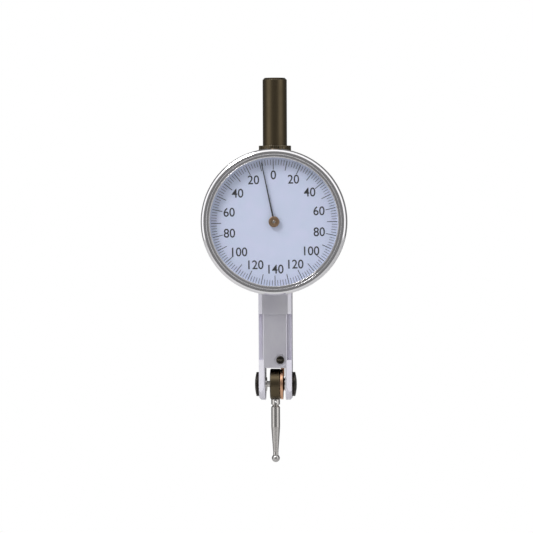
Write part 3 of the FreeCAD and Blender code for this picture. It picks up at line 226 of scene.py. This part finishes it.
def ink(name, colour=(0.016, 0.016, 0.02)):
    finish = Finish(name, colour, 0.4)
    finish.tint(finish.span(finish.noise(2600, 3), 0.45, 0.8, 0, 0.7), (0.05, 0.05, 0.06))
    grain = finish.noise(9000, 2)
    finish.rough(finish.span(grain, 0.3, 0.7, 0.32, 0.5))
    finish.bump(grain, 0.0006 * MM)
    return finish.material


def soft_plastic():
    finish = Finish("gasket_plastic_pale", (0.6, 0.62, 0.66), 0.5)
    grain = finish.noise(3000, 3)
    finish.tint(finish.span(finish.noise(500, 3), 0.4, 0.7), (0.68, 0.7, 0.74))
    finish.rough(finish.span(grain, 0.3, 0.7, 0.42, 0.58))
    finish.bump(grain, 0.001 * MM)
    return finish.material


def ruby():
    finish = Finish("jewel_ruby", (0.45, 0.02, 0.06), 0.08)
    finish.surface.inputs["Transmission Weight"].default_value = 0.35
    finish.surface.inputs["IOR"].default_value = 1.76
    cloud = finish.noise(1500, 2)
    finish.tint(finish.span(cloud, 0.4, 0.7), (0.6, 0.03, 0.1))
    finish.rough(finish.span(cloud, 0.3, 0.7, 0.05, 0.12))
    return finish.material


def crystal_glass():
    """Clear glass that lets lamps through, with faint rubbed patches."""
    finish = Finish("crystal_clear", (1, 1, 1), 0.02)
    finish.surface.inputs["Transmission Weight"].default_value = 1.0
    finish.surface.inputs["IOR"].default_value = 1.49
    finish.rough(finish.span(finish.noise(300, 4), 0.45, 0.8, 0.0, 0.03))
    clear = finish.add("ShaderNodeBsdfTransparent")
    path = finish.add("ShaderNodeLightPath")
    blend = finish.add("ShaderNodeMixShader")
    either = finish.math("MAXIMUM", path.outputs["Is Shadow Ray"],
                         path.outputs["Is Diffuse Ray"])
    finish.link(either, blend.inputs["Fac"])
    finish.link(finish.surface.outputs["BSDF"], blend.inputs[1])
    finish.link(clear.outputs["BSDF"], blend.inputs[2])
    finish.link(blend.outputs["Shader"], finish.output.inputs["Surface"])
    return finish.material


CHROME = (0.78, 0.77, 0.79)
OXIDE = (0.105, 0.082, 0.05)
OXIDE_WEAR = (0.42, 0.38, 0.3)
BLACK_OXIDE = (0.03, 0.027, 0.025)
STEEL = (0.6, 0.58, 0.56)
BRONZE = (0.72, 0.42, 0.27)
BRASS = (0.72, 0.53, 0.24)


def finishes():
    """One material per group of nodes; turned pieces get lines about their own axis."""
    oxide = dict(colour=OXIDE, roughness=0.34, wear=OXIDE_WEAR)
    black = dict(colour=BLACK_OXIDE, roughness=0.34, wear=OXIDE_WEAR)
    brass = dict(colour=BRASS, roughness=0.3)
    steel = dict(colour=STEEL, roughness=0.2)
    satin = satin_chrome()
    groups = [
        (satin, ["body_frame", "arm_cover"]),
        (machined("satin_chrome_cover", (0.7, 0.69, 0.76), 0.32, Y_AXIS, DIAL, 0.12 * MM,
                  0.001 * MM, wear=(0.9, 0.89, 0.92)), ["rear_cover"]),
        (machined("polished_chrome_bezel", CHROME, 0.1, Y_AXIS, DIAL, 0.1 * MM, 0.0003 * MM,
                  mottle=0.02), ["bezel"]),
        (machined("oxide_stem", axis=Z_AXIS, **oxide), ["stem", "stem_collar"]),
        (machined("oxide_hub", axis=X_AXIS, centre=PIVOT, **oxide), ["stylus_hub"]),
        (machined("oxide_pivots", axis=X_AXIS, centre=PIVOT, **black),
         ["pivot_screw_left", "pivot_screw_right"]),
        (machined("oxide_screw", axis=Y_AXIS, centre=FRONT_SCREW, **black), ["front_screw"]),
        (machined("bronze_lever", BRONZE, 0.3, X_AXIS, PIVOT), ["measuring_lever"]),
        (machined("steel_pivot", axis=X_AXIS, centre=PIVOT, **steel),
         ["lever_shaft", "clutch_spring", "clutch_nut", "pivot_washer_left",
          "pivot_washer_right", "sector_arbor", "sector_pivot_screws", "crown_arbor"]),
        (machined("steel_stylus", STEEL, 0.16, Z_AXIS, SHANK, 0.05 * MM),
         ["stylus_shank"]),
        (machined("carbide_ball", (0.5, 0.49, 0.48), 0.12, mottle=0.04), ["contact_ball"]),
        (machined("steel_screws", STEEL, 0.25, wear=(0.75, 0.73, 0.7)),
         ["rear_cover_screws", "arm_cover_screws", "movement_plate_screws", "bridge_screws",
          "bezel_snap_ring", "hairspring", "centre_pinion"]),
        (machined("brass_dial_side", axis=Y_AXIS, centre=DIAL, **brass),
         ["movement_plate", "hairspring_collet", "hairspring_stud", "dial_retainer"]),
        (machined("brass_train", axis=X_AXIS, centre=DIAL, **brass),
         ["crown_wheel", "sector_gear", "bridge_left", "bridge_right"]),
        (machined("brass_boss", (0.42, 0.27, 0.16), 0.28, Y_AXIS, DIAL, 0.08 * MM),
         ["pointer_boss"]),
        (ruby(), ["centre_jewels", "arbor_jewels"]),
        (crystal_glass(), ["crystal"]),
        (soft_plastic(), ["crystal_gasket"]),
        (enamel(), ["dial_plate"]),
        (ink("pointer_black_paint"), ["pointer"]),
    ]
    for material, nodes in groups:
        for node in nodes:
            dress(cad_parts[node], material)


def dress(piece, material):
    mesh = piece.data
    if not mesh.materials:
        mesh.materials.append(material)
    for number in range(len(mesh.materials)):
        mesh.materials[number] = material


# ---------------------------------------------------------------- dial printing

DIVISIONS = 140
LONG_EVERY = 5
NUMBER_EVERY = 10            # divisions between numbered ticks
INK_HEIGHT = 0.012 * MM
TICK_OUTER = 15.55 * MM
LONG_INNER = 13.05 * MM
LONG_WIDTH = 0.17 * MM
SHORT_INNER = 14.2 * MM
SHORT_WIDTH = 0.11 * MM
NUMERAL_RADIUS_X = 11.35 * MM
NUMERAL_RADIUS_Z = 11.6 * MM
NUMERAL_HEIGHT = 2.25 * MM
NUMERAL_SQUEEZE = 0.95       # width of the numerals against the built-in font's
STROKE_GAIN = 0.03 * MM
DIGIT_SHARE = 0.73           # height of the built-in font's digits against its size
PRINT_DROP = 0.2 * MM        # the printing sits a little low on the dial
PRINT_TURN = math.radians(0.7)


def on_dial(u, v, height=0.0):
    """Point on the dial's face: u to the reader's right, v up, height towards the reader."""
    turned = Matrix.Rotation(PRINT_TURN, 2) @ Vector((u, v))
    return Vector((DIAL.x + turned.x, DIAL_FACE - height, DIAL.z + turned.y - PRINT_DROP))


def tick_box(mesh, angle, inner, outer, width):
    """Thin raised bar along a radius, at an angle clockwise from the top of the dial."""
    out = Vector((math.sin(angle), math.cos(angle)))
    side = Vector((math.cos(angle), -math.sin(angle))) * width / 2
    corners = [out * inner - side, out * inner + side, out * outer + side, out * outer - side]
    back = [mesh.verts.new(on_dial(*corner)) for corner in corners]
    front = [mesh.verts.new(on_dial(*corner, INK_HEIGHT)) for corner in corners]
    mesh.faces.new(front)
    mesh.faces.new(back[::-1])
    for number in range(4):
        after = (number + 1) % 4
        mesh.faces.new((front[after], front[number], back[number], back[after]))


def dial_ticks(material):
    mesh = bmesh.new()
    for number in range(DIVISIONS):
        angle = 2 * math.pi * number / DIVISIONS
        if number % LONG_EVERY == 0:
            tick_box(mesh, angle, LONG_INNER, TICK_OUTER, LONG_WIDTH)
        else:
            tick_box(mesh, angle, SHORT_INNER, TICK_OUTER, SHORT_WIDTH)
    bmesh.ops.recalc_face_normals(mesh, faces=mesh.faces)
    data = bpy.data.meshes.new("dial_ticks")
    mesh.to_mesh(data)
    mesh.free()
    data.materials.append(material)
    piece = bpy.data.objects.new("dial_ticks", data)
    bpy.context.scene.collection.objects.link(piece)
    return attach(piece, "bezel_ring")


def numeral(name, digits, u, v, material):
    """A number printed on the dial, centred on (u, v)."""
    curve = bpy.data.curves.new(name, "FONT")
    curve.body = digits
    curve.size = NUMERAL_HEIGHT / DIGIT_SHARE
    curve.align_x, curve.align_y = "CENTER", "CENTER"
    curve.extrude = INK_HEIGHT / 2
    curve.offset = STROKE_GAIN
    curve.resolution_u = 6
    curve.materials.append(material)
    piece = bpy.data.objects.new(name, curve)
    piece.matrix_world = (Matrix.Translation(on_dial(u, v, INK_HEIGHT / 2))
                          @ Matrix.Rotation(-PRINT_TURN, 4, "Y")
                          @ Matrix.Rotation(math.pi / 2, 4, "X")
                          @ Matrix.Diagonal((NUMERAL_SQUEEZE, 1, 1, 1)))
    bpy.context.scene.collection.objects.link(piece)
    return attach(piece, "bezel_ring")


def dial_numbers(material):
    """Numbers count up both ways from zero at the top to the largest at the bottom."""
    half = DIVISIONS // 2
    for number in range(0, half + 1, NUMBER_EVERY):
        angle = 2 * math.pi * number / DIVISIONS
        u, v = NUMERAL_RADIUS_X * math.sin(angle), NUMERAL_RADIUS_Z * math.cos(angle)
        sides = (("middle", 0),) if number in (0, half) else (("right", u), ("left", -u))
        for side, offset in sides:
            numeral(f"dial_number_{2 * number}_{side}", str(2 * number), offset, v, material)


# ---------------------------------------------------------------- studio

KEY_PLACE = (-0.45, -0.55, 0.7)
KEY_SIZE = 0.35
KEY_POWER = 5.0
FLOOR_RADIUS = 1.4
FLOOR_LEVEL = -0.32
# Brightness of the light tent, from straight behind the camera (0) to straight ahead of it (1)
TENT = ((0.0, 0.14), (0.07, 0.2), (0.17, 0.8), (0.3, 0.8), (0.45, 0.35), (0.6, 0.14), (1.0, 0.12))
TENT_STRENGTH = 1.6
VIEW_WIDTH = 132.2 * MM
VIEW_CENTRE = (-2.22 * MM, 0, -29.93 * MM)
VIEW_AZIMUTH = math.radians(2.6)
VIEW_RISE = math.radians(1.0)
VIEW_ROLL = math.radians(-0.24)
VIEW_DISTANCE = 0.9


def studio():
    scene = bpy.context.scene
    scene.view_settings.view_transform = "Standard"
    floor_disc()
    world_light()
    lamp("key_lamp", KEY_PLACE, KEY_SIZE, KEY_POWER)
    camera()


def aim(item, target):
    direction = Vector(target) - item.location
    item.rotation_euler = direction.to_track_quat("-Z", "Y").to_euler()


def lamp(name, place, size, power):
    data = bpy.data.lights.new(name, "AREA")
    data.shape = "DISK"
    data.size = size
    data.energy = power
    item = bpy.data.objects.new(name, data)
    item.location = place
    aim(item, DIAL)
    bpy.context.scene.collection.objects.link(item)


def floor_disc():
    """Round pale floor well below the hanging stylus."""
    mesh = bmesh.new()
    bmesh.ops.create_circle(mesh, cap_ends=True, segments=96, radius=FLOOR_RADIUS)
    data = bpy.data.meshes.new("studio_floor")
    mesh.to_mesh(data)
    mesh.free()
    floor = bpy.data.objects.new("studio_floor", data)
    floor.location = (0, 0, FLOOR_LEVEL)
    bpy.context.scene.collection.objects.link(floor)
    finish = Finish("floor_paper", (0.9, 0.9, 0.9), 0.8)
    finish.tint(finish.span(finish.noise(40, 3), 0.3, 0.7), (0.88, 0.88, 0.88))
    data.materials.append(finish.material)


def world_light():
    """Light tent seen from inside: dim round the camera, brightest half-way out, dim behind."""
    world = bpy.data.worlds.new("studio_world")
    bpy.context.scene.world = world
    world.use_nodes = True
    tree = world.node_tree
    tree.nodes.clear()
    output = tree.nodes.new("ShaderNodeOutputWorld")
    ambient = tree.nodes.new("ShaderNodeBackground")
    seen = tree.nodes.new("ShaderNodeBackground")
    mix = tree.nodes.new("ShaderNodeMixShader")
    path = tree.nodes.new("ShaderNodeLightPath")
    place = tree.nodes.new("ShaderNodeTexCoord")
    axes = tree.nodes.new("ShaderNodeSeparateXYZ")
    position = tree.nodes.new("ShaderNodeMapRange")
    tent = tree.nodes.new("ShaderNodeValToRGB")
    tree.links.new(place.outputs["Generated"], axes.inputs[0])
    tree.links.new(axes.outputs["Y"], position.inputs["Value"])
    position.inputs["From Min"].default_value = -1.0
    position.inputs["From Max"].default_value = 1.0
    tree.links.new(position.outputs["Result"], tent.inputs["Fac"])
    ramp = tent.color_ramp
    ramp.interpolation = "EASE"
    ramp.elements[0].position, ramp.elements[1].position = 0.0, 1.0
    for spot, level in TENT:
        if spot in (0.0, 1.0):
            element = ramp.elements[0 if spot == 0.0 else -1]
        else:
            element = ramp.elements.new(spot)
        element.color = (level, level, level, 1)
    tree.links.new(tent.outputs["Color"], ambient.inputs["Color"])
    ambient.inputs["Strength"].default_value = TENT_STRENGTH
    seen.inputs["Strength"].default_value = 1.0
    seen.inputs["Color"].default_value = (1, 1, 1, 1)
    tree.links.new(path.outputs["Is Camera Ray"], mix.inputs["Fac"])
    tree.links.new(ambient.outputs[0], mix.inputs[1])
    tree.links.new(seen.outputs[0], mix.inputs[2])
    tree.links.new(mix.outputs[0], output.inputs["Surface"])


def camera():
    data = bpy.data.cameras.new("camera")
    data.sensor_width = 36
    data.lens = data.sensor_width * VIEW_DISTANCE / VIEW_WIDTH
    item = bpy.data.objects.new("camera", data)
    level = math.cos(VIEW_RISE)
    back = Vector((math.sin(VIEW_AZIMUTH) * level, -math.cos(VIEW_AZIMUTH) * level,
                   math.sin(VIEW_RISE)))
    item.location = Vector(VIEW_CENTRE) + back * VIEW_DISTANCE
    aim(item, VIEW_CENTRE)
    item.rotation_euler.rotate_axis("Z", VIEW_ROLL)
    data.clip_start, data.clip_end = 0.01, 20
    bpy.context.scene.collection.objects.link(item)
    bpy.context.scene.camera = item


# ---------------------------------------------------------------- build

finishes()
print_ink = ink("dial_ink")
dial_ticks(print_ink)
dial_numbers(print_ink)
studio()
